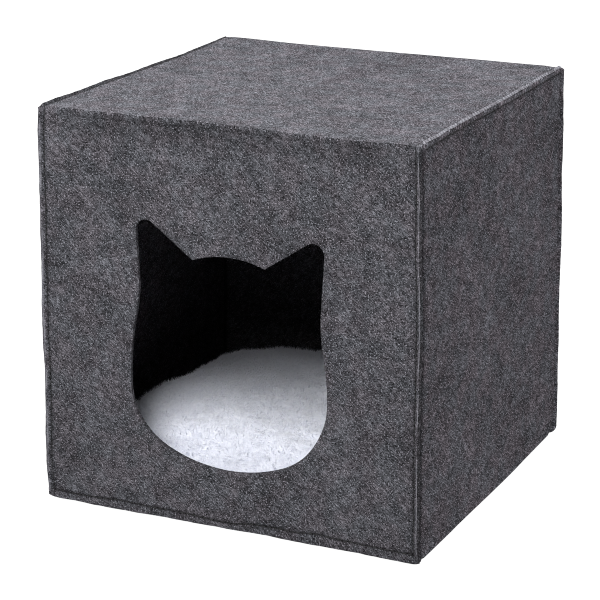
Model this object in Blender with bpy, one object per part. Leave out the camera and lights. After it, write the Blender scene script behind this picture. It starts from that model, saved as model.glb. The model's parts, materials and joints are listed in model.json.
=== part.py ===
"""Felt cat cave: a box sewn from two strips of felt, with a loose plush cushion inside.

Metres, +Z up. The front faces -Y and +X is on the right of the front.
The origin lies on the floor under the middle of the box.

The box is sewn as a ball is: two strips, each bent twice into a U, close on each other along
one endless seam. The wrap is front, top and back; the cradle is left side, floor and right
side. The felt edges stand outside, as a narrow double flange at 45 degrees to the panels.
"""
import math

import bmesh
import bpy
from mathutils import Vector

# Driving dimensions
BODY_WIDTH = 0.331            # over the side panels, at the floor
BODY_DEPTH = 0.322            # over the front and back panels, at the floor
BODY_HEIGHT = 0.3328          # floor to the upper face of the top panel
FELT = 0.003                  # thickness of the felt
FOLD_RADIUS = 0.0012          # inner radius of the unsewn folds and of the seam's corners
SEAM_ALLOWANCE = 0.0052       # from the seam's root to the cut edge, on the upright edges
SEAM_GAP = 0.00045            # clearance between the two strips
SEAM_TURN = math.radians(45)  # from the wrap panel's normal to the flange
FLOOR_TURN = math.radians(20)  # how much further the floor presses the bottom flanges
FLOOR_SEAM_HEIGHT = 0.0081    # root of the bottom seams above the floor
FLOOR_ALLOWANCE = 0.0067      # allowance along the floor
TOP_ALLOWANCE = 0.0040        # allowance along the top panel

# How the slack felt leaves the ideal box
SIDE_LEAN = 0.0045            # how far each side panel leans in at the top
FLOOR_RUN = 0.014             # way in from a bottom seam to where the floor panel lies flat
FLOOR_BLEND = 0.060           # height up the side panels over which that drop fades
TOP_SEAM_DROP = 0.0006        # the top side seams lie lower than the top panel
TOP_RUN = 0.012               # way in from a top side seam over which that drop fades
TOP_SAG = 0.0020              # middle of the top panel
FRONT_DIP = 0.0018            # dip of the top front fold
FRONT_DIP_AT = 0.095
FRONT_DIP_WIDTH = 0.060
TOP_POWER = 4                 # how fast what bends the top fades down the walls
WAVES = (                     # moved axis, along axis, height of wave, wavelength, phase
    ("x", "z", 0.0005, 0.210, 0.4),
    ("y", "x", 0.0006, 0.260, 1.1),
    ("y", "z", 0.0004, 0.300, 2.6),
    ("x", "y", 0.0005, 0.240, 0.9),
)
TRIM_WAVE = 0.0003            # unevenness of the cut edges
TRIM_WAVELENGTH = 0.085
TRIM_PHASE = 2.0              # how far the cradle's cut edge is out of step with the wrap's

# Mesh steps
PANEL_STEPS = 10              # along each panel
CORNER_STEPS = 3              # round each fold and each seam corner

# Entrance: an animal head with two ears, cut through the front panel
ENTRANCE_X = 0.0043           # its middle, right of the panel's middle
CHIN_Z = 0.0503
CHIN_RADIUS = 0.120
CHEEK_HALF_WIDTH = 0.087
CHEEK_RADIUS = 0.062
TEMPLE_RADIUS = 0.250         # cheek running up and in
TEMPLE_TURN = math.radians(10.4)
EAR_FOOT_RADIUS = 0.160       # and turning upright again below the ear
EAR_TIP_RADIUS = 0.009
EAR_TIP_Z = 0.247
NOTCH_HALF_WIDTH = 0.031      # where an ear meets the brow
NOTCH_Z = 0.2213
BROW_RISE = 0.0057
ARC_STEP = math.radians(9)    # coarsest step on the entrance's arcs

# Cushion
CUSHION_SIZE = Vector((0.316, 0.308))
CUSHION_BASE = 0.0033         # underside, just over the floor panel
CUSHION_SEAM_Z = 0.024
CUSHION_CROWN_Z = 0.058
CUSHION_DRAW_IN = 0.018       # share by which the middle of each side is drawn in
CUSHION_CORNER_POWER = 9.0    # roundness of the plan's corners
CUSHION_FILL_POWER = 4.0      # fullness towards the edges
CUSHION_FLAT_SHARE = 1.5      # how much of the underside lies flat
CUSHION_STEPS = 16
WELD_DISTANCE = 0.00001       # joins the cushion's two faces along its seam

# Colours
FELT_COLOUR = (0.072, 0.070, 0.078)
FELT_ROUGHNESS = 0.95
PLUSH_COLOUR = (0.80, 0.82, 0.86)
PLUSH_ROUGHNESS = 0.90
CREASE_ANGLE = math.radians(35)

HALF_X = BODY_WIDTH / 2 - FELT
HALF_Y = BODY_DEPTH / 2 - FELT
TOP_Z = BODY_HEIGHT - FELT
FLOOR_DROP = FLOOR_SEAM_HEIGHT - FELT
SEAM_INSET = SEAM_GAP / math.sqrt(2)
AXES = {"x": 0, "y": 1, "z": 2}


def clear_scene():
    """Remove every object that is already there."""
    for old in list(bpy.data.objects):
        bpy.data.objects.remove(old, do_unlink=True)


def make_material(name, colour, roughness):
    """Return a plain cloth material."""
    material = bpy.data.materials.new(name)
    material.use_nodes = True
    shader = material.node_tree.nodes["Principled BSDF"]
    shader.inputs["Base Color"].default_value = (*colour, 1.0)
    shader.inputs["Roughness"].default_value = roughness
    shader.inputs["Metallic"].default_value = 0.0
    return material


def make_object(name, bm):
    """Turn a bmesh into a linked object, smooth except at its creases."""
    mesh = bpy.data.meshes.new(name)
    bm.to_mesh(mesh)
    bm.free()
    mesh.shade_smooth()
    mesh.set_sharp_from_angle(angle=CREASE_ANGLE)
    made = bpy.data.objects.new(name, mesh)
    bpy.context.scene.collection.objects.link(made)
    return made


def smoothstep(value):
    """Ease from 0 to 1."""
    value = min(1.0, max(0.0, value))
    return value * value * (3 - 2 * value)


def settle(point):
    """Return where a point of the ideal box lies in the slack, standing one."""
    height = min(1.0, max(0.0, point.z / BODY_HEIGHT))
    across = point.x / HALF_X
    along = point.y / HALF_Y
    moved = point.copy()
    moved.x -= SIDE_LEAN * height * across
    for moved_axis, along_axis, size, length, phase in WAVES:
        turn = 2 * math.pi * point[AXES[along_axis]] / length + phase
        moved[AXES[moved_axis]] += size * math.sin(turn)
    lying = smoothstep((HALF_Y - abs(point.y)) / FLOOR_RUN)
    low = 1 - (point.z - FLOOR_SEAM_HEIGHT - FOLD_RADIUS) / FLOOR_BLEND
    moved.z -= FLOOR_DROP * lying * min(1.0, max(0.0, low))
    near_top = height ** TOP_POWER
    beside = 1 - smoothstep((HALF_X - abs(point.x)) / TOP_RUN)
    moved.z -= TOP_SEAM_DROP * beside * near_top
    bowl = max(0.0, 1 - across ** 2) * max(0.0, 1 - along ** 2)
    moved.z -= TOP_SAG * bowl * near_top
    dip = math.exp(-((point.x - FRONT_DIP_AT) / FRONT_DIP_WIDTH) ** 2)
    moved.z -= FRONT_DIP * dip * smoothstep(-along) * near_top
    return moved


def even_steps(start, end, count):
    """Return count positions after start, the last of them end."""
    return [start + (end - start) * step / count for step in range(1, count + 1)]


def across_strip(half_width, extra):
    """Return the positions across a strip, from edge to edge."""
    inner = half_width - FOLD_RADIUS
    ways_in = [half_width - way for way in extra]
    low = [-(half_width - SEAM_INSET), -inner] + [-way for way in ways_in]
    middle = even_steps(low[-1], -low[-1], PANEL_STEPS)
    return low + middle + [-way for way in reversed(low[:-1])]


def along_strip(half_span, end_z, fold_z):
    """Return (across the box, height, normal) at each row of a U-shaped strip.

    The strip starts at end_z, is folded at fold_z, crosses the box and comes back to end_z.
    """
    upward = 1 if fold_z > end_z else -1
    bend_z = fold_z - upward * FOLD_RADIUS
    first_z = end_z + upward * SEAM_INSET
    second_z = end_z + upward * FOLD_RADIUS
    side = Vector((-1, 0))
    level = Vector((0, upward))
    rows = [(Vector((-half_span, first_z)), side), (Vector((-half_span, second_z)), side)]
    for z in even_steps(second_z, bend_z, PANEL_STEPS):
        rows.append((Vector((-half_span, z)), side))
    centre = Vector((-half_span + FOLD_RADIUS, bend_z))
    for step in range(1, CORNER_STEPS + 1):
        angle = math.pi / 2 * step / CORNER_STEPS
        normal = side * math.cos(angle) + level * math.sin(angle)
        rows.append((centre + normal * FOLD_RADIUS, normal))
    half_rows = list(rows)
    crossing = even_steps(centre.x, -centre.x, PANEL_STEPS)[:-1]
    rows += [(Vector((place, fold_z)), level) for place in crossing]
    for place, normal in reversed(half_rows):
        rows.append((Vector((-place.x, place.y)), Vector((-normal.x, normal.y))))
    return rows


def lift(flat, across, runs_along_y):
    """Place a strip's own plane point and its position across the strip in space."""
    if runs_along_y:
        return Vector((across, flat.x, flat.y))
    return Vector((flat.x, across, flat.y))


def flange_way(root, outward, normal, is_wrap):
    """Return how the seam allowance runs from its root to the cut edge.

    The two panels' outward normals are the strip's own and the way out across its edge.
    """
    wrap_normal = normal if is_wrap else outward
    cradle_normal = outward if is_wrap else normal
    downward = max(0.0, -cradle_normal.z)
    upward = max(0.0, wrap_normal.z)
    turn = SEAM_TURN + FLOOR_TURN * downward
    width = SEAM_ALLOWANCE * (1 - downward - upward)
    width += FLOOR_ALLOWANCE * downward + TOP_ALLOWANCE * upward
    trim_phase = 0.0 if is_wrap else TRIM_PHASE
    trim_turn = 2 * math.pi * (root.x + root.y + root.z) / TRIM_WAVELENGTH + trim_phase
    width += TRIM_WAVE * math.sin(trim_turn)
    return width * (wrap_normal * math.cos(turn) + cradle_normal * math.sin(turn))


def add_rounded_corner(bm, rows, columns, row_ends, column_ends, is_wrap, verts, seam):
    """Close one corner of the strip with a fan of faces on a quarter circle."""
    edge_row, inner_row = row_ends
    edge_column, inner_column = column_ends
    normal = lift(rows[inner_row][1], 0.0, is_wrap)
    centre = lift(rows[inner_row][0], columns[inner_column], is_wrap)
    along = lift(rows[edge_row][0], columns[inner_column], is_wrap) - centre
    sideways = lift(rows[inner_row][0], columns[edge_column], is_wrap) - centre
    radius = along.length
    fan = [verts[edge_row, inner_column]]
    for step in range(1, CORNER_STEPS):
        angle = math.pi / 2 * step / CORNER_STEPS
        outward = along.normalized() * math.cos(angle) + sideways.normalized() * math.sin(angle)
        vert = bm.verts.new(centre + outward * radius)
        seam[vert] = (outward, normal)
        fan.append(vert)
    fan.append(verts[inner_row, edge_column])
    for first, second in zip(fan, fan[1:]):
        bm.faces.new((verts[inner_row, inner_column], first, second))


def add_panels(bm, rows, columns, is_wrap):
    """Add a strip's panels; return its edge vertices with their two outward directions."""
    last_row = len(rows) - 1
    last_column = len(columns) - 1
    corners = {(row, column) for row in (0, last_row) for column in (0, last_column)}
    verts = {}
    seam = {}
    for row, (flat, flat_normal) in enumerate(rows):
        for column, across in enumerate(columns):
            if (row, column) in corners:
                continue
            vert = bm.verts.new(lift(flat, across, is_wrap))
            verts[row, column] = vert
            normal = lift(flat_normal, 0.0, is_wrap)
            if column in (0, last_column):
                seam[vert] = (lift(Vector((0, 0)), math.copysign(1, across), is_wrap), normal)
            if row in (0, last_row):
                away = flat - rows[1][0]
                seam[vert] = (Vector((0, 0, math.copysign(1, away.y))), normal)
    for row in range(last_row):
        for column in range(last_column):
            ring = [(row, column), (row, column + 1), (row + 1, column + 1), (row + 1, column)]
            if not corners.intersection(ring):
                bm.faces.new([verts[place] for place in ring])
    for row_ends in ((0, 1), (last_row, last_row - 1)):
        for column_ends in ((0, 1), (last_column, last_column - 1)):
            add_rounded_corner(bm, rows, columns, row_ends, column_ends, is_wrap, verts, seam)
    return seam


def add_flange(bm, seam, is_wrap):
    """Turn the strip's edge out along the seam."""
    edges = [edge for edge in bm.edges if edge.is_boundary]
    bmesh.ops.extrude_edge_only(bm, edges=edges)
    for root, (outward, normal) in seam.items():
        way = flange_way(root.co, outward, normal, is_wrap)
        for edge in root.link_edges:
            tip = edge.other_vert(root)
            if tip.is_boundary and tip not in seam:
                tip.co = root.co + way


def make_strip(name, rows, columns, is_wrap):
    """Build one felt strip: its inner face, settled, then thickened outwards."""
    bm = bmesh.new()
    seam = add_panels(bm, rows, columns, is_wrap)
    add_flange(bm, seam, is_wrap)
    for vert in bm.verts:
        vert.co = settle(vert.co)
    bmesh.ops.recalc_face_normals(bm, faces=bm.faces)
    bm.faces.ensure_lookup_table()
    first_normal = bm.faces[0].normal
    faces_inward = first_normal.y > 0 if is_wrap else first_normal.x > 0
    if faces_inward:
        bmesh.ops.reverse_faces(bm, faces=bm.faces)
    strip = make_object(name, bm)
    thicken = strip.modifiers.new("Felt thickness", "SOLIDIFY")
    thicken.thickness = FELT
    thicken.offset = 1.0
    thicken.use_even_offset = True
    thicken.use_quality_normals = True
    return strip


def arc(centre, radius, start, end):
    """Return points along an arc in the front's plane, both ends included."""
    count = max(1, math.ceil(abs(end - start) / ARC_STEP))
    angles = [start + (end - start) * step / count for step in range(count + 1)]
    return [centre + radius * Vector((math.cos(angle), math.sin(angle))) for angle in angles]


def half_entrance():
    """Return the right half of the entrance, from the chin up to the brow's middle."""
    chin_centre = Vector((0, CHIN_Z + CHIN_RADIUS))
    cheek_centre_x = CHEEK_HALF_WIDTH - CHEEK_RADIUS
    reach = CHIN_RADIUS - CHEEK_RADIUS
    cheek_drop = math.sqrt(reach ** 2 - cheek_centre_x ** 2)
    cheek_centre = Vector((cheek_centre_x, chin_centre.y - cheek_drop))
    meeting = math.atan2(-cheek_drop, cheek_centre_x)
    outline = arc(chin_centre, CHIN_RADIUS, -math.pi / 2, meeting)
    outline += arc(cheek_centre, CHEEK_RADIUS, meeting, 0.0)[1:]
    temple_centre = Vector((CHEEK_HALF_WIDTH - TEMPLE_RADIUS, cheek_centre.y))
    outline += arc(temple_centre, TEMPLE_RADIUS, 0.0, TEMPLE_TURN)[1:]
    foot_way = Vector((math.cos(TEMPLE_TURN), math.sin(TEMPLE_TURN)))
    foot_centre = temple_centre + foot_way * (TEMPLE_RADIUS + EAR_FOOT_RADIUS)
    outline += arc(foot_centre, EAR_FOOT_RADIUS, math.pi + TEMPLE_TURN, math.pi)[1:]
    ear_x = foot_centre.x - EAR_FOOT_RADIUS
    tip_centre = Vector((ear_x - EAR_TIP_RADIUS, EAR_TIP_Z - EAR_TIP_RADIUS))
    notch = Vector((NOTCH_HALF_WIDTH, NOTCH_Z))
    to_tip = tip_centre - notch
    slope = math.atan2(to_tip.y, to_tip.x) + math.asin(EAR_TIP_RADIUS / to_tip.length)
    outline += arc(tip_centre, EAR_TIP_RADIUS, 0.0, slope + math.pi / 2)
    brow_radius = (NOTCH_HALF_WIDTH ** 2 + BROW_RISE ** 2) / (2 * BROW_RISE)
    brow_centre = Vector((0, NOTCH_Z + BROW_RISE - brow_radius))
    brow_start = math.asin((brow_radius - BROW_RISE) / brow_radius)
    outline += arc(brow_centre, brow_radius, brow_start, math.pi / 2)
    return outline


def make_entrance_cutter():
    """Build the prism that cuts the entrance."""
    right = half_entrance()
    left = [Vector((-point.x, point.y)) for point in reversed(right[1:-1])]
    reach = BODY_DEPTH / 8
    bm = bmesh.new()
    ring = [bm.verts.new((ENTRANCE_X + point.x, -BODY_DEPTH / 2 - reach, point.y))
            for point in right + left]
    face = bm.faces.new(ring)
    grown = bmesh.ops.extrude_face_region(bm, geom=[face])
    far_side = [item for item in grown["geom"] if isinstance(item, bmesh.types.BMVert)]
    bmesh.ops.translate(bm, verts=far_side, vec=(0, 2 * reach, 0))
    bmesh.ops.recalc_face_normals(bm, faces=bm.faces)
    cutter = make_object("entrance_cutter", bm)
    cutter.hide_render = True
    cutter.display_type = "WIRE"
    return cutter


def make_wrap():
    """Build the front, top and back strip, with its entrance."""
    rows = along_strip(HALF_Y, FLOOR_SEAM_HEIGHT, TOP_Z)
    columns = across_strip(HALF_X, (TOP_RUN / 2, TOP_RUN))
    wrap = make_strip("felt_wrap", rows, columns, True)
    wrap.data.materials.append(make_material("Wrap felt", FELT_COLOUR, FELT_ROUGHNESS))
    entrance = wrap.modifiers.new("Entrance", "BOOLEAN")
    entrance.operation = "DIFFERENCE"
    entrance.solver = "EXACT"
    entrance.object = make_entrance_cutter()


def make_cradle():
    """Build the left side, floor and right side strip."""
    rows = along_strip(HALF_X, TOP_Z, FLOOR_SEAM_HEIGHT)
    columns = across_strip(HALF_Y, (FLOOR_RUN / 2, FLOOR_RUN))
    cradle = make_strip("felt_cradle", rows, columns, False)
    cradle.data.materials.append(make_material("Cradle felt", FELT_COLOUR, FELT_ROUGHNESS))


def cushion_point(u, v, upper):
    """Return the point of the cushion's upper or lower face at u, v from -1 to 1."""
    across = math.sin(u * math.pi / 2)
    along = math.sin(v * math.pi / 2)
    longest = max(abs(across), abs(along))
    spread = abs(across) ** CUSHION_CORNER_POWER + abs(along) ** CUSHION_CORNER_POWER
    rounding = longest / spread ** (1 / CUSHION_CORNER_POWER) if longest > 0 else 1.0
    x = CUSHION_SIZE.x / 2 * across * rounding * (1 - CUSHION_DRAW_IN * (1 - along ** 2))
    y = CUSHION_SIZE.y / 2 * along * rounding * (1 - CUSHION_DRAW_IN * (1 - across ** 2))
    room = (1 - across ** CUSHION_FILL_POWER) * (1 - along ** CUSHION_FILL_POWER)
    fill = math.sqrt(max(0.0, room))
    if upper:
        return Vector((x, y, CUSHION_SEAM_Z + (CUSHION_CROWN_Z - CUSHION_SEAM_Z) * fill))
    drop = (CUSHION_SEAM_Z - CUSHION_BASE) * min(1.0, CUSHION_FLAT_SHARE * fill)
    return Vector((x, y, CUSHION_SEAM_Z - drop))


def make_cushion():
    """Build the plush cushion: crowned above, flat where it lies, seamed all round."""
    bm = bmesh.new()
    for upper in (True, False):
        grid = bmesh.ops.create_grid(bm, x_segments=CUSHION_STEPS, y_segments=CUSHION_STEPS,
                                     size=1.0)
        for vert in grid["verts"]:
            vert.co = cushion_point(vert.co.x, vert.co.y, upper)
    bmesh.ops.remove_doubles(bm, verts=bm.verts, dist=WELD_DISTANCE)
    bmesh.ops.recalc_face_normals(bm, faces=bm.faces)
    cushion = make_object("plush_cushion", bm)
    cushion.data.materials.append(make_material("White plush", PLUSH_COLOUR, PLUSH_ROUGHNESS))


def main():
    """Build the three pieces."""
    clear_scene()
    make_wrap()
    make_cradle()
    make_cushion()


main()
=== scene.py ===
"""Felt cat cave, dressed for its picture.

The cave is a box of needle felt sewn from two strips, with a loose plush cushion inside.
Every felt piece starts as its flat pattern, gets its thickness and its trimmed edges while it is
flat, and is then folded and turned out along the seam, as the real one is made.

Metres, +Z up. The front faces -Y and +X is on the right of the front.
"""
import json
import logging
import math
import random
from dataclasses import dataclass, field
from enum import Enum
from typing import Any, Callable

import bmesh
import bpy
from bmesh.types import BMesh, BMVert
from bpy.types import Camera, Light, Material, Mesh, MeshPolygon, NodeSocket, Object
from mathutils import Matrix, Vector, noise

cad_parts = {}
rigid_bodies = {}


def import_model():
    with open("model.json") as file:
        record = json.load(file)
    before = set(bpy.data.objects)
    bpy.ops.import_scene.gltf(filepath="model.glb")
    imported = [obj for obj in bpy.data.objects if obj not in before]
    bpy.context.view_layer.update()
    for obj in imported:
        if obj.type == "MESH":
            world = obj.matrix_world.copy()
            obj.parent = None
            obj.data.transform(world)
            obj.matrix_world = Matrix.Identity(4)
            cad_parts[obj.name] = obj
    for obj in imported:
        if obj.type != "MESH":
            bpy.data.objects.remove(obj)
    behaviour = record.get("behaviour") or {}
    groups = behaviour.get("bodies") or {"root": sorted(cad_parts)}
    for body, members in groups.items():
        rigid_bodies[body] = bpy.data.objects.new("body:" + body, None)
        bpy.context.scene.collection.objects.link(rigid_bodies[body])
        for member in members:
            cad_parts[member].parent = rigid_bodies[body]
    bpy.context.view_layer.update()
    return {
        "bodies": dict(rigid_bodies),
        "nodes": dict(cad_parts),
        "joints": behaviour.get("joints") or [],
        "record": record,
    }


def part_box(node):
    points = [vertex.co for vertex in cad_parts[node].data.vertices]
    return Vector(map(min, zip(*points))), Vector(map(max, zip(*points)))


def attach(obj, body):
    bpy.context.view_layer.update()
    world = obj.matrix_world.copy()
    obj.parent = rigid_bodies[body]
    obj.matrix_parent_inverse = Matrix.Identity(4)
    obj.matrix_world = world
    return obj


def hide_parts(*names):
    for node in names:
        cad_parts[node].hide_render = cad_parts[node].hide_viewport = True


LOG = logging.getLogger("cat_cave")

BODY = "root"
FACING = 0.5        # a unit vector's part past which it counts as pointing that way
TINY = 1e-12

Pair = tuple[float, float]
Triple = tuple[float, float, float]
Rgba = tuple[float, float, float, float]
Table = tuple[Pair, ...]


def clamp(value: float, low: float = 0.0, high: float = 1.0) -> float:
    """Return value kept between low and high."""
    return min(high, max(low, value))


def smoothstep(value: float) -> float:
    """Ease from 0 to 1."""
    value = clamp(value)
    return value * value * (3 - 2 * value)


def ramp(value: float, start: float, run: float) -> float:
    """Ease from 0 at start to 1 a run further on."""
    return smoothstep((value - start) / run)


def at_side(share: float) -> float:
    """Return 0 up to two thirds of the way out to a side, easing to 1 there."""
    return smoothstep(share * 3 - 2)


def bell(distance: float, width: float) -> float:
    """Return a smooth hump, 1 at no distance and nearly 0 past twice its width."""
    return math.exp(-((distance / width) ** 2))


def along_table(table: Table, place: float) -> float:
    """Look a place up in a table, easing from one of its rows to the next.

    Args:
        table: its rows, (place, value) each.
        place: where to read it.

    Returns:
        The value there.
    """
    for (start, low), (end, high) in zip(table, table[1:]):
        if place <= end:
            return low + (high - low) * smoothstep((place - start) / (end - start))
    return table[-1][1]


def wander(place: Vector, scale: float, seed: float) -> float:
    """Return smooth unevenness from -1 to 1 at a place.

    Args:
        place: where, in metres.
        scale: size of its humps, in metres.
        seed: shifts the pattern, so that two uses differ.

    Returns:
        The unevenness.
    """
    shift = Vector((seed * 17.3, seed * 5.1, -seed * 9.7))
    return noise.noise(place / scale + shift)


# ---------------------------------------------------------------- the box and its strips


class Strip(Enum):
    """The two felt strips, by their CAD nodes."""

    WRAP = "felt_wrap"
    CRADLE = "felt_cradle"


@dataclass
class SeamPlace:
    """How a point of a flat strip lies against the seam."""

    base: Vector                    # its place on the panel, at most where the corners turn
    normal: Vector                  # the panel's outward normal there
    outward: Vector                 # the way out across the strip's edge
    distance: float = 0.0           # how far it is past where the corners turn
    along: float = 0.0              # its position along the seam


@dataclass(frozen=True)
class CaveBox:
    """The ideal box that the strips close on, and how the slack felt leaves it."""

    width: float = 0.331
    depth: float = 0.322
    height: float = 0.3328
    felt: float = 0.003
    fold_radius: float = 0.0007
    floor_fold_radius: float = 0.0022
    seam_gap: float = 0.00045
    seam_turn: float = math.radians(45)
    floor_turn: float = math.radians(20)
    floor_seam_height: float = 0.0081
    side_allowance: float = 0.0057
    floor_allowance: float = 0.0067
    top_allowance: float = 0.0046
    side_lean: float = 0.0045
    floor_run: float = 0.014
    floor_blend: float = 0.060
    top_seam_drop: float = 0.0006
    top_run: float = 0.012
    top_sag: float = 0.0020
    front_dip: float = 0.0018
    front_dip_at: float = 0.095
    front_dip_width: float = 0.060
    top_power: int = 4
    left_narrow: float = 0.0003
    # how far the left and right panels stand out of the box: (height, way out)
    left_out: Table = (
        (0.000, -0.0017), (0.012, -0.0006), (0.030, 0.0012), (0.055, 0.0009), (0.080, 0.0),
        (0.110, -0.0002), (0.140, 0.0005), (0.180, 0.0012), (0.235, 0.0017), (0.280, 0.0019),
        (0.310, 0.0014), (0.333, 0.0),
    )
    right_out: Table = (
        (0.000, -0.0005), (0.050, 0.0003), (0.100, 0.0006), (0.150, 0.0013), (0.200, 0.0008),
        (0.250, -0.0003), (0.300, 0.0004), (0.333, 0.0006),
    )
    # how far the front's right edge stands to the right of its line: (height, way right)
    near_out: Table = (
        (0.000, -0.0004), (0.030, -0.0014), (0.075, -0.0010), (0.120, -0.0003), (0.200, 0.0007),
        (0.260, 0.0001), (0.333, 0.0002),
    )
    back_left_lift: float = 0.0018
    lift_from: float = 0.2          # share of the half width to the left where it starts
    # slow waves of the panels: (axis that moves, axis they run along, size, length, phase)
    waves: tuple[tuple, ...] = (
        (0, 2, 0.0005, 0.210, 0.4), (1, 0, 0.0006, 0.260, 1.1),
        (1, 2, 0.0004, 0.300, 2.6), (0, 1, 0.0005, 0.240, 0.9),
    )
    back_narrow: float = 0.0016     # the top left allowance, narrower towards the back
    squareness: float = 0.60        # of the allowance's corners: 0 round, 1 square
    trim_wave: float = 0.0003
    trim_wavelength: float = 0.085
    trim_phase: float = 2.0
    cradle_short: float = 0.0005    # the cradle is trimmed shorter than the wrap,
    near_short: float = 0.0013      # most of all at the front's right edge
    near_run: float = 0.05
    # how far the front's bottom seam wanders off its line: (x, rise)
    seam_drift: Table = (
        (-0.165, 0.0002), (-0.140, -0.0004), (-0.118, 0.0), (-0.098, 0.0010), (-0.070, 0.0002),
        (-0.040, 0.0), (-0.012, -0.0017), (0.002, -0.0019), (0.022, 0.0006), (0.046, 0.0012),
        (0.054, 0.0005), (0.080, 0.0026), (0.100, 0.0014), (0.130, 0.0008), (0.165, 0.0004),
    )
    drift_run: float = 0.008        # it fades this far in from the front,
    drift_rise: Pair = (0.0025, 0.005)     # and in height starts here, over this run,
    drift_fall: Pair = (0.009, 0.022)      # and ends likewise
    unsettle_rounds: int = 4

    @property
    def half_x(self) -> float:
        """Half the width between the side panels."""
        return self.width / 2 - self.felt

    @property
    def half_y(self) -> float:
        """Half the depth between the front and back panels."""
        return self.depth / 2 - self.felt

    @property
    def top_z(self) -> float:
        """Height of the top panel's underside."""
        return self.height - self.felt

    @property
    def seam_inset(self) -> float:
        """How far each strip's seam line lies from the box's own edge."""
        return self.seam_gap / math.sqrt(2)

    def settle(self, point: Vector) -> Vector:
        """Return where a point of the ideal box lies in the slack, standing one.

        Args:
            point: a point of the ideal box.

        Returns:
            The point after the felt has settled.
        """
        height = clamp(point.z / self.height)
        across = point.x / self.half_x
        along = point.y / self.half_y
        moved = point.copy()
        moved.x -= self.side_lean * height * across
        moved.x -= along_table(self.left_out, point.z) * at_side(-across)
        moved.x += along_table(self.right_out, point.z) * at_side(across)
        near = at_side(across) * at_side(-along)
        moved.x += along_table(self.near_out, point.z) * near
        for axis, run, size, length, phase in self.waves:
            moved[axis] += size * math.sin(2 * math.pi * point[run] / length + phase)
        lying = smoothstep((self.half_y - abs(point.y)) / self.floor_run)
        low = 1 - (point.z - self.floor_seam_height - self.fold_radius) / self.floor_blend
        moved.z -= (self.floor_seam_height - self.felt) * lying * clamp(low)
        near_top = height ** self.top_power
        back_left = smoothstep(-self.lift_from - across) * at_side(along)
        moved.z += self.back_left_lift * back_left * near_top
        beside = 1 - smoothstep((self.half_x - abs(point.x)) / self.top_run)
        moved.z -= self.top_seam_drop * beside * near_top
        bowl = max(0.0, 1 - across ** 2) * max(0.0, 1 - along ** 2)
        moved.z -= self.top_sag * bowl * near_top
        dip = bell(point.x - self.front_dip_at, self.front_dip_width)
        moved.z -= self.front_dip * dip * smoothstep(-along) * near_top
        at_front = ramp(-point.y, self.half_y - self.drift_run, self.drift_run)
        at_seam = ramp(point.z, *self.drift_rise) * (1 - ramp(point.z, *self.drift_fall))
        moved.z += along_table(self.seam_drift, point.x) * at_front * at_seam
        moved.z = max(0.0, moved.z)
        return moved

    def unsettle(self, settled: Vector) -> Vector:
        """Return the ideal box's point that settles at a given place.

        Args:
            settled: a point of the standing box.

        Returns:
            The point of the ideal box.
        """
        ideal = settled.copy()
        for _ in range(self.unsettle_rounds):
            ideal += settled - self.settle(ideal)
        return ideal

    def seam_bend(self, spot: SeamPlace, strip: Strip) -> float:
        """Return by how much a strip turns out of its panel at the seam.

        Args:
            spot: a place at the seam. Its way out is the other strip's normal.
            strip: which strip.

        Returns:
            The turn, in radians.
        """
        cradle_normal = spot.outward if strip is Strip.WRAP else spot.normal
        turn = self.seam_turn + self.floor_turn * max(0.0, -cradle_normal.z)
        return math.pi / 2 - turn if strip is Strip.WRAP else turn

    def allowance(self, root: Vector, spot: SeamPlace, strip: Strip) -> float:
        """Return the seam allowance's width at a point of the seam.

        Args:
            root: the seam's point in the ideal box.
            spot: the place at the seam.
            strip: which strip.

        Returns:
            The width from the seam's root to the cut edge.
        """
        wrap_normal, cradle_normal = spot.normal, spot.outward
        if strip is Strip.CRADLE:
            wrap_normal, cradle_normal = cradle_normal, wrap_normal
        down = max(0.0, -cradle_normal.z)
        up = max(0.0, wrap_normal.z)
        width = (self.side_allowance - self.left_narrow * (root.x < 0)) * (1 - down - up)
        width += self.floor_allowance * down + self.top_allowance * up
        if root.x < 0:
            width -= self.back_narrow * up * smoothstep(0.5 + root.y / self.depth)
        width *= 1 + self.squareness * (1 / max(abs(part) for part in spot.outward) - 1)
        phase = 0.0
        if strip is Strip.CRADLE:
            phase = self.trim_phase
            near_corner = smoothstep(root.x / self.near_run) * smoothstep(-root.y / self.near_run)
            width -= (1 - down - up) * (self.cradle_short + self.near_short * near_corner)
        turn = 2 * math.pi * (root.x + root.y + root.z) / self.trim_wavelength + phase
        return width + self.trim_wave * math.sin(turn)


@dataclass(frozen=True)
class HeadSide:
    """One side of the entrance's outline."""

    cheek: float                    # from the middle to the cheek's widest point
    ear_tip: float                  # the ear's height
    temple_turn: float              # how far the temple's side turns in
    lean: float                     # how far the ear's outer side leans out


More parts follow.
